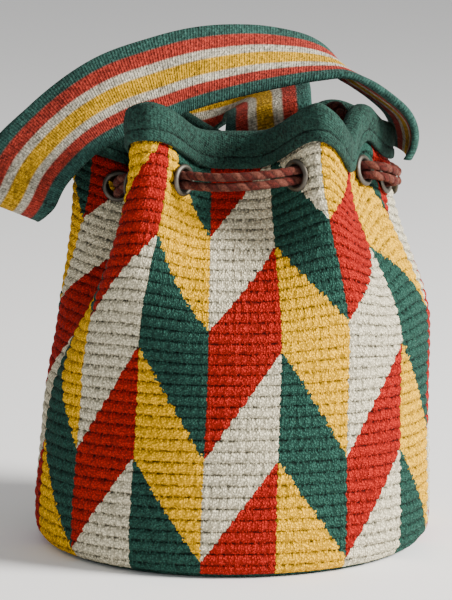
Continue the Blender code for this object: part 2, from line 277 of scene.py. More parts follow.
def keep(name, built, finish, data=None):
    """Store a bmesh in metres as a smooth object on the part's only body."""
    data = data or bpy.data.meshes.new(name)
    built.to_mesh(data)
    built.free()
    data.polygons.foreach_set("use_smooth", [True] * len(data.polygons))
    data.materials.append(finish)
    made = bpy.data.objects.new(name, data)
    bpy.context.collection.objects.link(made)
    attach(made, "root")
    return made


# %% [markdown]
# ## The bag's measures
# The cloth is 144 stitches around and 39 rows tall. Lower down it stands as an oval tube. Higher up it
# leaves the oval for the gathered outline of the mouth, with its folds. A simulation would fold the cloth
# somewhere else each time, so the wall is a formula of the place around and the row. Its numbers are the
# CAD part's own, so that the pieces here lie on that part's surface.

# %% Measures in millimetres
STITCHES = 144
STITCH = 4.375
ROW = 6.0
ROWS = 39
AROUND = STITCHES * STITCH
WALL = 3.6
HALF_WIDTH = 107.0
HALF_DEPTH = 93.0
FRONT_ROUNDING = 8.0
SIDE_ROUNDING = 13.0
BASE = 5.0
WAIST = ((0, 1.0), (25, 1.0), (84, 0.967), (112, 0.962), (140, 0.975), (170, 0.972), (250, 0.97))
LEAN = 4.0
MOUTH = (
    (2, -37, 228), (17, -42, 228), (27, -52, 235), (36, -63, 243), (44, -69, 248), (52, -66, 243),
    (58, -55, 232), (61, -42, 223), (64, -30, 236), (70, -17, 243), (77, -4, 231), (84, 9, 226),
    (86, 25, 225), (73, 36, 228), (66, 49, 233), (50, 56, 236), (34, 47, 223), (14, 43, 214),
    (-8, 48, 216), (-28, 59, 230), (-49, 58, 240), (-64, 40, 233), (-80, 27, 236), (-86, 8, 238),
    (-83, -8, 236), (-72, -18, 233), (-58, -18, 228), (-44, -17, 223), (-41, -32, 225), (-51, -47, 235),
    (-54, -64, 244), (-46, -74, 248), (-36, -72, 247), (-28, -61, 240), (-20, -48, 231), (-10, -40, 228),
)
FOLD_AT = -139.0
FOLD_REACH = 75.0
FOLD_START = 13.0
GATHER_START = 20.0
GATHER_END = 39.0
PULL_START = 12.0
BAND_HEIGHT = 20.0
BAND_TOP = 2.6
TOP_GAP = 1.2


def by_length(dense):
    """A curve's points, each with its share of the way along the curve in plan."""
    steps = np.linalg.norm(np.diff(dense[:, :2], axis=0), axis=1)
    share = np.concatenate([[0], np.cumsum(steps)])
    return share / share[-1], dense


def smooth_loop(points, samples=40):
    """A closed cubic B-spline guided by the points."""
    p = np.array(points, float)[:, None]
    before, after, beyond = np.roll(p, 1, 0), np.roll(p, -1, 0), np.roll(p, -2, 0)
    t = (np.arange(samples) / samples)[None, :, None]
    dense = (1 - t) ** 3 * before + (3 * t**3 - 6 * t**2 + 4) * p
    dense = dense + (-3 * t**3 + 3 * t**2 + 3 * t + 1) * after + t**3 * beyond
    dense = dense.reshape(-1, p.shape[2]) / 6
    return by_length(np.vstack([dense, dense[:1]]))


turn = np.linspace(0, 2 * math.pi, 1441)
OVAL = by_length(np.stack([HALF_WIDTH * np.sin(turn), -HALF_DEPTH * np.cos(turn)], 1))
OUTLINE = smooth_loop(MOUTH)


def read(curve, share):
    """The curve's coordinates at a share of the way around."""
    share = np.mod(share, 1.0)
    return [np.interp(share, curve[0], curve[1][:, k]) for k in range(curve[1].shape[1])]


def ease(x):
    """A step from 0 to 1 that starts and ends gently."""
    x = np.clip(x, 0.0, 1.0)
    return x * x * (3 - 2 * x)


def plan(share, row, z):
    """Where the wall stands in plan, at a share of the way round, a row and a height."""
    x, y = read(OVAL, share)
    waist = np.interp(z, *zip(*WAIST))
    x = x * waist + LEAN * ease(z / 140)
    y = y * waist
    mouth_x, mouth_y, _ = read(OUTLINE, share)
    away = np.abs(np.mod(share - FOLD_AT / AROUND + 0.5, 1.0) - 0.5) * AROUND
    start = GATHER_START + (FOLD_START - GATHER_START) * ease(1 - away / FOLD_REACH)
    w = ease((row - start) / (GATHER_END - start))
    return np.stack([x + (mouth_x - x) * w, y + (mouth_y - y) * w], -1)


def outward(share, row, z, step=0.004):
    """The direction in plan that points out of the wall."""
    along = plan(share + step, row, z) - plan(share - step, row, z)
    out = np.stack([along[..., 1], -along[..., 0]], -1)
    return out / np.linalg.norm(out, axis=-1, keepdims=True)


def rounding(share):
    """The radius where the wall turns into the base: larger at the sides than in front and behind."""
    return FRONT_ROUNDING + (SIDE_ROUNDING - FRONT_ROUNDING) * np.sin(2 * math.pi * share) ** 2


def rim_height(share):
    return read(OUTLINE, share)[2]


def wall(share, row, offset=0.0):
    """The wall's point at a share of the way round and a row, moved outwards by the offset."""
    radius = rounding(share)
    arc = row * ROW
    angle = np.minimum(arc / radius, math.pi / 2)
    straight = arc - radius * (math.pi / 2 - 1)
    top = ROWS * ROW - radius * (math.pi / 2 - 1)
    pull = ease((row - PULL_START) / (ROWS - PULL_START))
    tall = straight + (rim_height(share) - BAND_HEIGHT - top) * pull * straight / top
    bent = arc < radius * math.pi / 2
    z = np.where(bent, radius * (1 - np.cos(angle)), tall)
    inset = np.where(bent, radius * (1 - np.sin(angle)), 0.0)
    lean_in = np.where(bent, np.sin(angle), 1.0)
    at = plan(share, row, z) + outward(share, row, z) * (offset * lean_in - inset)[..., None]
    lift = -offset * np.where(bent, np.cos(angle), 0.0)
    return np.concatenate([at, np.maximum(z + np.minimum(lift, 0.0), 0.0)[..., None]], -1)


def rim(share, offset, below):
    """The rim's points, moved outwards by the offset and down from the top edge."""
    z = rim_height(share) - below
    at = plan(share, ROWS, z) + outward(share, ROWS, z) * (offset + 0 * z)[:, None]
    return np.concatenate([at, z[..., None]], -1)


outline_steps = np.linalg.norm(np.diff(OUTLINE[1][:, :2], axis=0), axis=1)
print("mouth outline", round(float(outline_steps.sum())), "mm around")

# %% [markdown]
# ## The crochet body
# Single crochet makes broad rows with a thin groove between them, and each row is a string of stitches.
# Every row gets four rings and every stitch three points, so the ridges and the stitches are real
# relief. The finer yarn is left to the material. The wall goes over the rim and down inside, so the bag
# is a closed cloth as thick as the real one.

# %% Base and rows
STITCH_BULGE = (-0.16, 0.08, 0.08)  # how far the three points of a stitch stand out
RIDGES = ((0.0, -0.2), (0.17, 0.5), (0.5, 0.85), (0.83, 0.5))  # a ring's share of its row, and its height
UNEVEN = 0.13  # how much one stitch differs from the next
BASE_ROUNDS = 14  # rounds of crochet from the base's middle to the wall
BASE_RIPPLE = 0.5
POINTS = len(STITCH_BULGE)

share = np.arange(STITCHES * POINTS) / (STITCHES * POINTS)
stitch_bulge = np.tile(STITCH_BULGE, STITCHES)
rng = np.random.default_rng(7)
uneven = rng.normal(0.0, UNEVEN, (ROWS + 1, STITCHES)).repeat(POINTS, 1)
rings, rows_at = [], []
under = wall(share, np.zeros_like(share))
for part_in in (0.03, 0.2, 0.4, 0.6, 0.75, 0.88):
    rings.append(under * [part_in, part_in, 1.0] + [0.0, 0.0, BASE_RIPPLE if len(rings) % 2 else 0.0])
    rows_at.append(-(1 - part_in) * BASE_ROUNDS)
for row in range(ROWS):
    for phase, height in RIDGES:
        fade = min(1.0, (row + phase) / 2)
        offset = (height + stitch_bulge * (0.4 if phase == 0 else 1.0) + uneven[row]) * fade
        rings.append(wall(share, np.full_like(share, row + phase), offset))
        rows_at.append(row + phase)
print("outer rings", len(rings))

# %% Over the rim and down inside
EDGE_ROW = ROWS + 3.0  # the row count at the cloth's top edge, which the band hides
INSIDE_FOOT = 82.0  # the row count where the inside reaches the floor, once past the rim
PATTERN_START = 22.8  # from the front to the pattern's first column, in millimetres

rings.append(rim(share, 0.0, BAND_HEIGHT))
rings.append(rim(share, 0.0, BAND_TOP + TOP_GAP))
rings.append(rim(share, -WALL, BAND_TOP + TOP_GAP))
rows_at += [float(ROWS), EDGE_ROW, EDGE_ROW + 0.6]
for row in (39, 37, 35, 33, 31, 29, 27, 24.5, 22, 19.5, 17, 14, 12, 10, 8, 6):
    rings.append(wall(share, np.full_like(share, row), np.full_like(share, -WALL)))
    rows_at.append(INSIDE_FOOT - row)
floor_ring = plan(share, 0, BASE) - outward(share, 0, BASE) * (rounding(share) + WALL)[:, None]
floor_ring = np.concatenate([floor_ring, np.full((len(share), 1), BASE)], -1)
for part_in in (1.0, 0.8, 0.6, 0.4, 0.2, 0.03):
    rings.append(floor_ring * [part_in, part_in, 1.0])
    rows_at.append(INSIDE_FOOT + (1 - part_in) * BASE_ROUNDS)
body_rings = np.array(rings)
body_across = np.linspace(0, STITCHES, STITCHES * POINTS + 1) - PATTERN_START / STITCH
print("body rings", body_rings.shape)

# %% [markdown]
# ## The crochet pattern
# Sixteen columns of nine stitches go round the bag. Each column is cut by slanted edges that climb about
# one row for each stitch, and the slant changes side from column to column, so two columns make a V. The
# colour of a stitch is worked out from its column and from how many edges lie below it. A painted picture
# would blur when seen close; worked out by the stitch, the edges stay stepped, as in the real work.


# %% The pattern
COLUMN = 9  # stitches in a column
EDGES = ((2, 11), (11, 21), (23, 31), (32, 40))  # the rows where each slanted edge starts and ends


def pattern(bench, stitch, slanted, climbed):
    """The yarn's colour. Two yarns take turns in the columns that lean left, and two in the others."""
    column = bench.maths("FLOOR", (stitch + 0.5) / COLUMN)
    part = bench.maths("FRACT", slanted / COLUMN)
    right = bench.maths("FLOORED_MODULO", column, 2.0)
    away = right * part + (1 - right) * (1 - part)
    level = 0.0
    for low, high in EDGES:
        level = (climbed > low + (high - low) * away) + level
    pair = bench.maths("FLOORED_MODULO", bench.maths("FLOOR", column / 2) + 1, 2.0)
    odd = bench.maths("FLOORED_MODULO", level + pair, 2.0)
    top_changes = (level > len(EDGES) - 0.5) * pair
    side = bench.maths("ABSOLUTE", right - top_changes)
    return bench.mix(side, bench.mix(odd, GREEN, YELLOW), bench.mix(odd, RED, WHITE))


print("pattern of", STITCHES // COLUMN, "columns")


# %% [markdown]
# ## Crochet cotton
# Each stitch shows two strands of twisted cotton with a fuzz of loose fibres, and the rows meet in
# grooves. Modelling every strand would take millions of faces. Here a few layers do it: the strands and
# grooves are sums over stitches and rows, round knots give the yarn its grain, and two noises are the
# fibres. Each layer lifts the bump and scales the colour, so that the grain looks deep in any light: the
# grooves and the gaps between knots get painted shade, the knots and the strands' crowns a painted
# highlight, and the fibres vary in tone at random.


# %% Crochet material
def crochet_material():
    bench = Bench("crochet cotton")
    place, across, along = bench.cloth_place("cloth")
    wobble = bench.noise(0.9, 1.0, place) - 0.5
    ragged = bench.noise(2.6, 1.0, place) - 0.5
    along = along + 0.16 * wobble
    row = bench.maths("FLOOR", along)
    in_row = bench.maths("FRACT", along)
    yarn_across = across + 0.6 * ragged
    stitch = bench.maths("FLOOR", yarn_across)
    slanted = stitch + 0.5 + 0.75 * (bench.maths("FRACT", yarn_across) - 0.5)
    climbed = row + 0.3 + 0.75 * (in_row - 0.5) + 0.9 * ragged
    colour = pattern(bench, stitch, slanted, climbed)
    base = (row < 0.5) + (row > INSIDE_FOOT - 0.5)
    colour = bench.mix(base, colour, GREEN)
    in_stitch = bench.maths("FRACT", across)
    strand = bench.maths("ABSOLUTE", in_stitch - 0.5 - 0.22 * (in_row - 0.5)) * 2
    # Each strand's crown: a rise in the bump, and a faint painted highlight in the colour.
    strand_crowns_and_highlight = 1 - strand * strand
    stretched = bench.node("ShaderNodeVectorMath", {"operation": "MULTIPLY"}, {0: place, 1: (0.75, 1.0, 1.0)})
    # The yarn's grain: a bump, with a painted highlight on each knot and painted shade in the gaps.
    knots_and_painted_shade = bench.maths("MAXIMUM", bench.knots_and_painted_shade(stretched, 4.6), 0.03)
    # The groove between rows: a dip in the bump, and painted shade in the colour.
    groove_and_painted_shade = bench.maths("ABSOLUTE", in_row - 0.5) * 2
    groove_and_painted_shade = bench.maths("POWER", groove_and_painted_shade, 3.5) * (0.85 + 1.3 * ragged)
    fuzz = bench.noise(2600.0, 3.0)
    tufts = bench.noise(420.0, 2.0)
    fibres = 0.85 * (tufts - 0.5) + 0.8 * (fuzz - 0.5)
    # The yarn's colour scaled by painted shade in the grooves and knot gaps, painted highlights on the knots
    # and strands, and random fibre tone.
    colour = bench.shaded(colour, 0.5 + 0.06 * strand_crowns_and_highlight - 0.5 * groove_and_painted_shade + 1.3 * knots_and_painted_shade + fibres)
    height = 0.2 * strand_crowns_and_highlight + 0.75 * knots_and_painted_shade + 0.4 * tufts + 0.35 * fuzz - 0.8 * groove_and_painted_shade
    return bench.finish(colour, 0.95, height, 0.0012)


crochet = crochet_material()
body = loft("crochet_body", body_rings, body_across, rows_at, crochet)
print("body faces", len(body.data.polygons))

# %% [markdown]
# ## Cutting the eyelet holes
# The eyelets go through the cloth, so the cloth needs holes. Holes could be left out of the grid, but they
# would not be round. One Boolean with twelve short cylinders cuts them all, and each eyelet's place is
# worked out from the wall around it, as on the CAD part.

# %% Eyelet places
# How far round from the front each eyelet sits, in millimetres: positive is to the right.
EYELET_AT = (-43.0, 46.0, 120.0, 152.0, 181.0, 213.0, 247.0, 305.0, -255.0, -218.0, -156.0, -107.0)
EYELET_ROW = 36.7
HOLE = 5.8  # the radius of the opening that the cord passes
BARREL = 0.6  # the barrel's wall
FLANGE = 8.5  # the flange's radius
WASHER = 7.6  # the washer's radius
WASHER_HEIGHT = 1.0
SEATING = 0.9  # how far the flange stays above the highest stitch
GAP = 0.3


def wall_at(share, row, offset=0.0):
    return Vector(wall(np.array([share]), np.array([float(row)]), np.array([offset]))[0])


def eyelet_place(place):
    """The wall's point and outward normal at an eyelet, and the reach of the cloth on both sides."""
    share = place / AROUND
    middle = wall_at(share, EYELET_ROW)
    along = wall_at(share + 0.006, EYELET_ROW) - wall_at(share - 0.006, EYELET_ROW)
    up = wall_at(share, EYELET_ROW + 1) - wall_at(share, EYELET_ROW - 1)
    out = along.cross(up).normalized()
    high, low = 0.0, 0.0
    for ring in (0.5, 1.0):
        for step in range(12):
            angle = 2 * math.pi * step / 12
            aside = share + ring * FLANGE * math.cos(angle) / AROUND
            row = min(EYELET_ROW + ring * FLANGE * math.sin(angle) / ROW, ROWS)
            high = max(high, (wall_at(aside, row, 0.8) - middle).dot(out))
            low = min(low, (wall_at(aside, row, -WALL) - middle).dot(out))
    return middle, out, high + SEATING, low - SEATING - 2 * GAP


places = [eyelet_place(place) for place in EYELET_AT]
print("eyelets", len(places))

# %% Punch the cloth
punch = bmesh.new()
for middle, out, high, low in places:
    spot = Matrix.Translation((middle + out * (high + low) / 2) * MM)
    spot = spot @ out.to_track_quat("Z", "Y").to_matrix().to_4x4()
    radius = (HOLE + BARREL + GAP) * MM
    depth = (high - low + WALL) * MM
    bmesh.ops.create_cone(
        punch, cap_ends=True, segments=32, radius1=radius, radius2=radius, depth=depth, matrix=spot
    )
punch_data = bpy.data.meshes.new("punch")
punch.to_mesh(punch_data)
punch.free()
punch_object = bpy.data.objects.new("punch", punch_data)
bpy.context.collection.objects.link(punch_object)
cut = body.modifiers.new("eyelet holes", "BOOLEAN")
cut.operation = "DIFFERENCE"
cut.solver = "EXACT"
cut.object = punch_object
bpy.context.view_layer.objects.active = body
bpy.ops.object.modifier_apply(modifier=cut.name)
bpy.data.objects.remove(punch_object, do_unlink=True)
body.data.polygons.foreach_set("use_smooth", [True] * len(body.data.polygons))
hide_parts("bag_body")
print("punched body faces", len(body.data.polygons))

# %% [markdown]
# ## The rim band
# The band is finer than the body: a teal strip folded over the raw edge, with one line of stitching that
# pulls a groove into it. It is a loft as well, around a closed U. Two soft swells stand for the padding
# above and below the seam, and the material adds painted shade in the seam's groove, the faint ribs with a
# painted highlight on their crests, and the felted fibres of a worn edge.


# %% Band material
SEAM_AT = 7.95  # the stitched groove, in millimetres along the band's profile
SEAM_HALF = 0.9
RIBS = 0.8  # ribs in a millimetre
TICK = 1.3  # from stitch to stitch along a rib, in millimetres


def band_material():
    """A fine ribbed cloth that has felted with wear."""
    bench = Bench("teal rim knit")
    place, across, along = bench.cloth_place("cloth")
    wander = bench.noise(0.35, 2.0, place) - 0.5
    # Ribs and ticks: a bump, and a faint painted highlight on their crests.
    rib_and_highlight = bench.maths("SINE", (across + 0.5 * wander) * (RIBS * 2 * math.pi)) * 0.5 + 0.5
    tick_and_highlight = bench.maths("SINE", along * (2 * math.pi / TICK) + across * 2.0) * 0.5 + 0.5
    fuzz = bench.noise(2600.0, 3.0)
    patches = bench.noise(60.0, 2.0)
    tufts = bench.noise(650.0, 2.0)
    away = bench.maths("ABSOLUTE", along - SEAM_AT + 0.5 * wander)
    # The seam's stitched groove, used only as painted shade in the colour.
    seam_groove_shade = bench.maths("MAXIMUM", 1 - away / SEAM_HALF, 0.0)
    fibres = 1.6 * (fuzz - 0.5) + 2.6 * (tufts - 0.5) + 0.9 * (patches - 0.5)
    colour = bench.shaded(TEAL, 0.84 + 0.1 * rib_and_highlight + 0.08 * tick_and_highlight + fibres - 0.6 * seam_groove_shade)
    height = 0.2 * rib_and_highlight + 0.2 * tick_and_highlight + 0.6 * fuzz + 1.2 * tufts
    return bench.finish(colour, 0.95, height, 0.0008, sheen=0.02)


teal_knit = band_material()
print("seam at", SEAM_AT, "mm")

# %% Band mesh
# Outwards from the wall's middle and down from the top edge, once round the folded cloth.
band_profile = (
    (1.1, 19.7), (2.0, 19.7), (2.9, 19.3), (3.3, 18.3), (3.5, 16.6), (3.4, 14.8), (2.95, 13.9), (2.7, 13.5),
    (2.95, 13.1), (3.5, 12.0), (3.75, 9.5), (3.8, 6.5), (3.6, 3.6), (3.0, 1.8), (1.9, 0.7), (0.1, 0.1),
    (-1.8, 0.0), (-3.5, 0.2), (-5.0, 0.9), (-5.9, 2.1), (-6.2, 4.0), (-6.3, 9.0), (-6.3, 16.2), (-5.8, 17.0),
    (-4.4, 17.0), (-3.9, 16.6), (-3.9, 9.0), (-3.9, 4.0), (-3.5, 2.9), (-1.4, 2.7), (0.8, 2.9), (1.1, 4.0),
    (1.1, 11.0), (1.1, 17.0),
)
BAND_AROUND = 470.0
band_share = np.arange(480) / 480
band_turn = band_share * 2 * math.pi
ripple = 0.22 * np.sin(band_turn * 52) + 0.16 * np.sin(band_turn * 31 + 1)
band_rings = []
for offset, below in band_profile:
    near_outside = max(0.0, min(1.0, (offset - 1.2) / 2))
    band_rings.append(rim(band_share, offset + ripple * near_outside, below))
profile_steps = [math.dist(a, b) for a, b in zip(band_profile, band_profile[1:])]
band_down = np.concatenate([[0], np.cumsum(profile_steps)])
band_down = np.append(band_down, band_down[-1] + 2.7)
band_across = np.linspace(0, BAND_AROUND, len(band_share) + 1)
band = loft("rim_band_knit", np.array(band_rings), band_across, band_down, teal_knit, closed_along=True)
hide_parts("rim_band")
print("band faces", len(band.data.polygons))

# %% [markdown]
# ## Eyelets and washers
# A metal eyelet is pressed from a tube, so it is round all over, and one profile spun about its axis makes
# it. The rolled flange lies on the crochet, and the barrel passes through to the washer inside.


# %% Turned metal
def metal_material():
    bench = Bench("worn nickel")
    wear = bench.noise(900.0, 3.0)
    smudge = bench.noise(180.0, 2.0)
    colour = bench.mix(smudge, (0.035, 0.03, 0.025), (0.17, 0.155, 0.13))
    return bench.finish(colour, 0.4 + 0.3 * wear, wear, 0.00005, metallic=1.0)


nickel = metal_material()


def turned(name, profile, place, finish):
    """A closed profile, in radius and height, spun around an eyelet's axis."""
    built = bmesh.new()
    ring = [built.verts.new((radius * MM, 0, height * MM)) for radius, height in profile]
    edges = [built.edges.new((ring[k - 1], ring[k])) for k in range(len(ring))]
    geometry = ring + edges
    axis = {"cent": (0, 0, 0), "axis": (0, 0, 1)}
    bmesh.ops.spin(built, geom=geometry, angle=2 * math.pi, steps=40, use_merge=True, **axis)
    bmesh.ops.remove_doubles(built, verts=built.verts, dist=1e-6)
    spot = Matrix.Translation(place[0] * MM) @ place[1].to_track_quat("Z", "Y").to_matrix().to_4x4()
    bmesh.ops.transform(built, matrix=spot, verts=built.verts)
    bmesh.ops.recalc_face_normals(built, faces=built.faces)
    return keep(name, built, finish)


for number, place in enumerate(places, 1):
    high, low = place[2:]
    outside = HOLE + BARREL
    foot = low - WASHER_HEIGHT - 2 * GAP
    profile = [(outside, foot), (outside, high), (FLANGE - 0.2, high), (FLANGE, high + 0.25)]
    profile += [(FLANGE - 0.05, high + 0.7), (FLANGE - 0.5, high + 1.25), (outside + 0.9, high + 1.65)]
    profile += [(outside + 0.3, high + 1.65), (HOLE + 0.15, high + 1.3), (HOLE, high + 0.7), (HOLE, foot)]
    ring = turned(f"eyelet_ring_{number}", profile, place, nickel)
    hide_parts(f"eyelet_{number}")
    inside, bottom = outside + GAP, low - WASHER_HEIGHT
    profile = [(inside, low), (WASHER - 0.15, low), (WASHER, low - 0.2)]
    profile += [(WASHER - 0.1, bottom + 0.2), (WASHER - 0.4, bottom), (inside, bottom)]
    washer = turned(f"washer_ring_{number}", profile, place, nickel)
    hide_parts(f"eyelet_washer_{number}")
print("turned", 2 * len(places), "pieces")

# %% [markdown]
# ## The drawstring
# One cord is laid double and threaded once round through all the eyelets, so two cords lie one above
# the other. It is plied from two yarns, and the ply is modelled: the section has lobes, and it turns as it
# goes along. The route is the CAD part's: straight through each eyelet, then a smooth bend to the next.

# %% Through the eyelets
CORD = 4.5
CORD_REACH = 5.5  # how far the cord runs straight on each side of an eyelet's middle
CORD_SAG = 1.5
CORD_HANDLE = 0.36  # how far a bend's handles reach, as a share of its span
FIRST_EYELET = 6  # the route starts at this one of EYELET_AT, just past the knot


def bend(start, leaving, end, arriving, count):
    """Points of a smooth bend that sags a little, without its two ends."""
    handle = (end - start).length * CORD_HANDLE
    sag = Vector((0, 0, -CORD_SAG))
    first, second = start + leaving * handle + sag, end - arriving * handle + sag
    return interpolate_bezier(start, first, second, end, count + 2)[1:-1]


def through_eyelets():
    """The route once round: out through one eyelet, in through the next."""
    order = sorted(range(len(places)), key=lambda k: (EYELET_AT[k] - EYELET_AT[FIRST_EYELET]) % AROUND)
    points, ways = [], []
    for step, number in enumerate(order):
        middle, out, high, low = places[number]
        way = out if step % 2 == 0 else -out
        centre = middle + out * (high + low) / 2
        if points:
            points += bend(points[-1], ways[-1], centre - way * CORD_REACH, way, 3)
        points += [centre - way * CORD_REACH, centre + way * CORD_REACH]
        ways.append(way)
    return points, ways[0], ways[-1]


shared, first_way, last_way = through_eyelets()
print("route through the eyelets", len(shared), "points")


# %% Helpers for a route
def beside(points, offset):
    """The same route, moved up or down across its own direction."""
    moved = []
    for k in range(len(points)):
        along = Vector(points[min(k + 1, len(points) - 1)]) - Vector(points[max(k - 1, 0)])
        aside = along.cross(Vector((0, 0, 1)))
        moved.append(Vector(points[k]) + aside.cross(along).normalized() * offset)
    return moved


def direction(azimuth, elevation):
    """A direction from two angles in degrees."""
    level, rise = math.cos(math.radians(elevation)), math.sin(math.radians(elevation))
    turned_to = math.radians(azimuth)
    return Vector((level * math.cos(turned_to), level * math.sin(turned_to), rise))


def even(points, count):
    """Even points along a smooth open curve through the given ones."""
    p = np.array([tuple(v) for v in points], float)
    p = np.vstack([2 * p[0] - p[1], p, 2 * p[-1] - p[-2]])
    t = (np.arange(30) / 30)[None, :, None]
    a, b, c, d = p[:-3, None], p[1:-2, None], p[2:-1, None], p[3:, None]
    dense = 0.5 * (2 * b + (c - a) * t + (2 * a - 5 * b + 4 * c - d) * t**2 + (3 * b - a - 3 * c + d) * t**3)
    dense = np.vstack([dense.reshape(-1, p.shape[1]), p[-2][None]])
    far = np.concatenate([[0], np.cumsum(np.linalg.norm(np.diff(dense, axis=0), axis=1))])
    at = np.linspace(0, far[-1], count)
    return np.array([np.interp(at, far, dense[:, k]) for k in range(p.shape[1])]).T


def length_of(points):
    return float(np.linalg.norm(np.diff(np.array(points, float), axis=0), axis=1).sum())


# %% Laps and tails
CORD_GAP = 0.6  # between the two cords
KNOT_AT = Vector((56.0, 26.0, 230.0))
KNOT_RADIUS = 6.0
KNOT_LEAVE = KNOT_RADIUS + GAP + 0.3
KNOT_EXITS = (((135, -45), (60, -45)), ((210, -45), (345, -45)))  # angles where each lap starts and ends
TAIL_EXITS = ((215, 15), (285, 5))
TAIL_LENGTH = 40.0
TAIL_BEND = 9.0

routes = []
for rise, exits in zip((1, -1), KNOT_EXITS):
    start, end = (direction(*angles) for angles in exits)
    leave, arrive = KNOT_AT + start * KNOT_LEAVE, KNOT_AT + end * KNOT_LEAVE
    lap = beside(shared, rise * (CORD + CORD_GAP) / 2)
    route = [leave, *bend(leave, start, lap[0], first_way, 3), *lap]
    routes.append(route + [*bend(lap[-1], last_way, arrive, -end, 3), arrive])
tail_routes = []
for angles in TAIL_EXITS:
    out = direction(*angles)
    start = KNOT_AT + out * KNOT_LEAVE
    elbow = start + out * TAIL_BEND
    fall = TAIL_LENGTH - 1.6 * TAIL_BEND
    drops = (TAIL_BEND * 0.45, TAIL_BEND * 1.2, fall)
    route = [start, start + out * TAIL_BEND * 0.5, elbow + Vector((0, 0, -drops[0]))]
    tail_routes.append(route + [elbow + out + Vector((0, 0, -drop)) for drop in drops[1:]])
print("cord lengths", [round(length_of(route)) for route in routes + tail_routes])


# %% Plied cord
PLIES = 2
PLY_PITCH = 10.0  # the length of one full turn of the ply
PLY_DEPTH = 0.1  # how deep the furrow between two yarns is, as a share of the radius
RING_STEP = 0.9
RING_POINTS = 20


def cord_rings(points):
    """Rings of a plied cord: each ring has a lobe for each yarn and is turned a little from the last."""
    total = length_of(points)
    line = even(points, max(8, int(total / RING_STEP)))
    ahead = np.gradient(line, axis=0)
    ahead /= np.linalg.norm(ahead, axis=1, keepdims=True)
    side = np.cross(ahead[0], [0, 0, 1.0])
    side /= np.linalg.norm(side)
    angle = np.linspace(0, 2 * math.pi, RING_POINTS + 1)[:-1]
    made = []
    for k, (spot, way) in enumerate(zip(line, ahead)):
        side = side - way * side.dot(way)
        side /= np.linalg.norm(side)
        up = np.cross(way, side)
        twist = 2 * math.pi * k * total / (len(line) - 1) / PLY_PITCH
        lobe = np.abs(np.cos((angle - twist) * PLIES / 2))
        reach = CORD / 2 * (1.03 - PLY_DEPTH * (1 - lobe) ** 1.5)
        end = min(k, len(line) - 1 - k)
        reach = reach * (0.7 if end == 0 else 1.0)
        made.append(spot + np.outer(np.cos(angle) * reach, side) + np.outer(np.sin(angle) * reach, up))
    return np.array(made), line, total


# %% Cord material
# Painted shade laid into the furrow between the two yarns of the cord.
FURROW_SHADE = (0.02, 0.008, 0.006)


def cord_material():
    """The ply's colour follows its own coordinates: around the cord and along it, in millimetres."""
    bench = Bench("plied cord")
    _, around, along = bench.cloth_place("cloth")
    turned_back = around - along / PLY_PITCH
    lobe = bench.maths("ABSOLUTE", bench.maths("COSINE", turned_back * (2 * math.pi)))
    ply = bench.maths("FLOORED_MODULO", bench.maths("FLOOR", turned_back * 2 + 0.5), 2.0)
    fibre = bench.maths("SINE", (around * 9 + along * 0.9) * (2 * math.pi)) * 0.5 + 0.5
    fuzz = (bench.noise(2400.0, 3.0) - 0.5) * 1.6 + (bench.noise(700.0, 2.0) - 0.5) * 1.6 + 0.45
    first = bench.mix(fuzz, tone(56, 18, 14), tone(112, 44, 34))
    second = bench.mix(fuzz, tone(74, 28, 21), tone(142, 84, 68))
    colour = bench.mix(ply, first, second)
    # The furrow between the yarns darkened with painted shade.
    colour = bench.mix(0.55 * (1 - lobe) ** 2.0, colour, FURROW_SHADE)
    return bench.finish(colour, 0.88, fibre * 0.3 + fuzz * 1.0 + lobe * 0.8, 0.0008, sheen=0.02)


twine = cord_material()
print("cord turns once in", PLY_PITCH, "mm")


# %% Knot
KNOT_SKIN = 0.2  # how much the visible knot stands over the CAD part's ball

knot_rings = []
for lift in np.linspace(-1, 1, 33):
    level = math.sqrt(max(0.0, 1 - lift**2))
    angle = np.linspace(0, 2 * math.pi, 49)[:-1]
    folds = 1 + 0.07 * np.cos(angle * 3 + 5.0 * lift) + 0.05 * np.cos(angle * 5 - 9.0 * lift)
    reach = max(level, 0.02) * folds * (KNOT_RADIUS + KNOT_SKIN)
    height = np.full(len(angle), lift * (KNOT_RADIUS + KNOT_SKIN))
    knot_rings.append(np.stack([np.cos(angle) * reach, np.sin(angle) * reach, height], 1) + np.array(KNOT_AT))
knot = loft("cord_knot", np.array(knot_rings), np.linspace(0, 3, 49), np.linspace(0, 20, 33), twine)
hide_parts("drawstring_knot")
print("knot faces", len(knot.data.polygons))


# %% Lay the cords
def lay_cord(name, points, node):
    made_rings, line, total = cord_rings(points)
    along = np.linspace(0, total, len(made_rings))
    made = loft(name, made_rings, np.linspace(0, 1, RING_POINTS + 1), along, twine)
    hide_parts(node)
    return made, line, total


for number, route in enumerate(routes, 1):
    made, line, total = lay_cord(f"cord_lap_{number}", route, f"drawstring_{number}")
    [knot] if number == 1 else ()
for number, route in enumerate(tail_routes, 1):
    made, line, total = lay_cord(f"cord_tail_{number}", route, f"drawstring_tail_{number}")
print("drawstring laid")

# %% [markdown]
# ## The shoulder strap
# The strap is a flat woven band, stiff enough to stand in an arch. A curve object with a flat bevel would
# twist by its own rules where the strap folds over. So its route is given as pairs of edge points, which
# say how it twists at every place, and a section with rounded edges is swept along them.

# %% Strap route
STRAP_WIDTH = 50.0
STRAP = 4.0
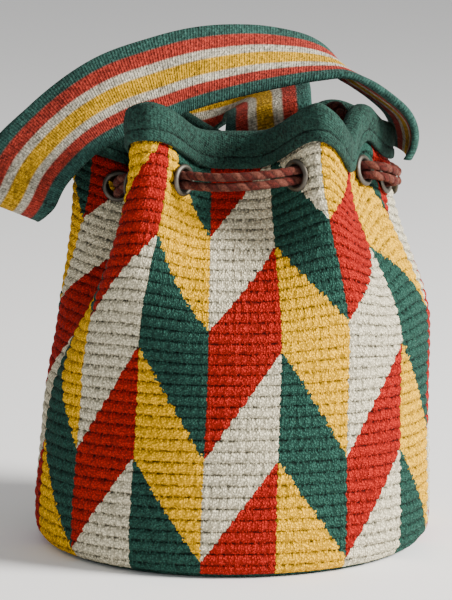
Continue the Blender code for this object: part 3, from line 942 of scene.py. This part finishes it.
# Each place has the near edge, the far edge and how much the strap bows up between them.
STRAP_ROUTE = (
    ((93, -12, 209), (90, 38, 210), 4), ((97, -13, 216), (88, 37, 220), 4),
    ((98, -15, 225), (83, 36, 230), 3), ((95, -17, 234), (73, 34, 239), 1),
    ((87, -18, 242), (63, 33, 246), 0), ((75, -18, 250), (56, 31, 251), 0),
    ((61, -18, 255), (54, 29, 260), 0), ((47, -18, 254), (47, 27, 267), 0),
    ((31, -19, 251), (34, 24, 273), 0), ((10, -21, 246), (10, 17, 278), 0),
    ((-17, -24, 239), (-18, 6, 278), 0), ((-34, -27, 233), (-45, 0, 272), 0),
    ((-54, -32, 227), (-72, -6, 262), 0), ((-72, -38, 217), (-99, -10, 244), 0),
    ((-87, -42, 201), (-124, -17, 220), 0), ((-93, -44, 187), (-138, -21, 198), 0),
    ((-99, -34, 180), (-144, -7, 193), 0), ((-105, -13, 180), (-136, 10, 203), 0),
    ((-107, 16, 184), (-119, 32, 221), 0), ((-98, 48, 192), (-98, 54, 237), 0),
    ((-74, 74, 198), (-72, 76, 245), 0), ((-44, 86, 200), (-42, 88, 248), 0),
    ((-18, 88, 207), (-8, 90, 252), 0), ((-6, 84, 216), (26, 87, 251), 0),
    ((-5, 70, 222), (42, 72, 246), 0), ((-5, 55, 222), (45, 57, 243), 0),
    ((-5, 43, 219), (45, 46, 236), -2), ((-5, 38, 213), (45, 41, 225), -4),
    ((-5, 38, 206), (45, 41, 208), -4),
)
stations = even([(*near, *far, bow) for near, far, bow in STRAP_ROUTE], 300)
middles = (stations[:, :3] + stations[:, 3:6]) / 2
strap_length = length_of(middles)
print("strap length", round(strap_length), "mm")

# %% Strap section and rings
CORNER = 1.6
STRIPE_SWELL = 0.12

half, thick = STRAP_WIDTH / 2, STRAP / 2
flat_part = np.linspace(-half + CORNER, half - CORNER, 21)
corner = np.linspace(-math.pi / 2, math.pi / 2, 7)[1:-1]
section = [(x, -thick) for x in flat_part]
section += [(half - CORNER + CORNER * math.cos(a), thick * math.sin(a)) for a in corner]
section += [(x, thick) for x in flat_part[::-1]]
section += [(-half + CORNER - CORNER * math.cos(a), thick * math.sin(a)) for a in corner[::-1]]
strap_rings = []
for k, station in enumerate(stations):
    across = station[3:6] - station[:3]
    across /= np.linalg.norm(across)
    ahead = middles[min(k + 1, len(middles) - 1)] - middles[max(k - 1, 0)]
    up = np.cross(across, ahead)
    up /= np.linalg.norm(up)
    ring = []
    for x, y in section:
        swell = STRIPE_SWELL * math.sin(x * 1.3) * math.copysign(1.0, y)
        ring.append(middles[k] + across * x + up * (y + swell + station[6] * (1 - (x / half) ** 2)))
    strap_rings.append(ring)
print("strap rings", len(strap_rings))

# %% [markdown]
# ## The strap's weave
# Seven stripes run along the strap. A stripe's colour is chosen by its place across the width, and a
# noise moves that place a little, so the edges look soft and hand worn. The cross ribs, the weft's picks
# and the fuzz are sums, as on the crochet. The ribs and picks carry a faint painted highlight on their
# crests, and the knots a painted highlight with painted shade in their gaps.

# %% Strap weave
STRIPE_BLEND = 1.1  # the soft edge between two stripes, in millimetres
RIB_PITCH = 1.35
PICK_PITCH = 1.1
# The first stripe is green. Each entry has the share of the strap's width that the stripe before it
# takes, and the yarn that comes next.
STRIPES = (
    (0.135, WORN_RED), (0.14, WORN_WHITE), (0.1, WORN_YELLOW),
    (0.19, WORN_WHITE), (0.11, WORN_RED), (0.165, WORN_GREEN),
)


def strap_material():
    bench = Bench("striped strap weave")
    place, around, along = bench.cloth_place("cloth")
    width = bench.maths("ABSOLUTE", around) + 1.1 * (bench.noise(1.6, 3.0, place) - 0.5)
    colour = WORN_GREEN
    edge = 0.0
    for share_of_width, yarn in STRIPES:
        edge += share_of_width * STRAP_WIDTH
        colour = bench.mix((width - edge) / STRIPE_BLEND + 0.5, colour, yarn)
    # Ribs and picks: a bump, and a faint painted highlight on their crests.
    rib_and_highlight = bench.maths("SINE", along * (2 * math.pi / RIB_PITCH)) * 0.5 + 0.5
    rib_side = bench.maths("FLOOR", along / RIB_PITCH) * math.pi
    pick_and_highlight = bench.maths("SINE", width * (2 * math.pi / PICK_PITCH) + rib_side) * 0.5 + 0.5
    fuzz = bench.noise(2500.0, 3.0)
    patches = bench.noise(70.0, 3.0)
    tufts = bench.noise(520.0, 2.0)
    # The weave's grain: a bump, with a painted highlight on each knot and painted shade in the gaps.
    knots_and_painted_shade = bench.maths("MAXIMUM", bench.knots_and_painted_shade(place, 0.6), 0.1)
    fibres = 1.1 * (fuzz - 0.5) + 1.2 * (tufts - 0.5) + 0.8 * (patches - 0.5)
    # The stripes' colour scaled by painted highlights on ribs, picks and knots, painted shade in the knots'
    # gaps, and random fibre tone.
    colour = bench.shaded(colour, 0.42 + 0.1 * rib_and_highlight + 0.06 * pick_and_highlight + 0.7 * knots_and_painted_shade + fibres)
    height = 0.3 * rib_and_highlight + 0.1 * pick_and_highlight + 0.6 * knots_and_painted_shade + 0.4 * fuzz + 0.8 * tufts
    return bench.finish(colour, 0.95, height, 0.0008, sheen=0.02)


strap_across = np.array([x + half for x, y in section] + [-(section[0][0] + half)])
strap_along = np.linspace(0, strap_length, len(strap_rings))
strap = loft("strap_weave", np.array(strap_rings), strap_across, strap_along, strap_material())
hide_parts("shoulder_strap")
print("strap faces", len(strap.data.polygons))
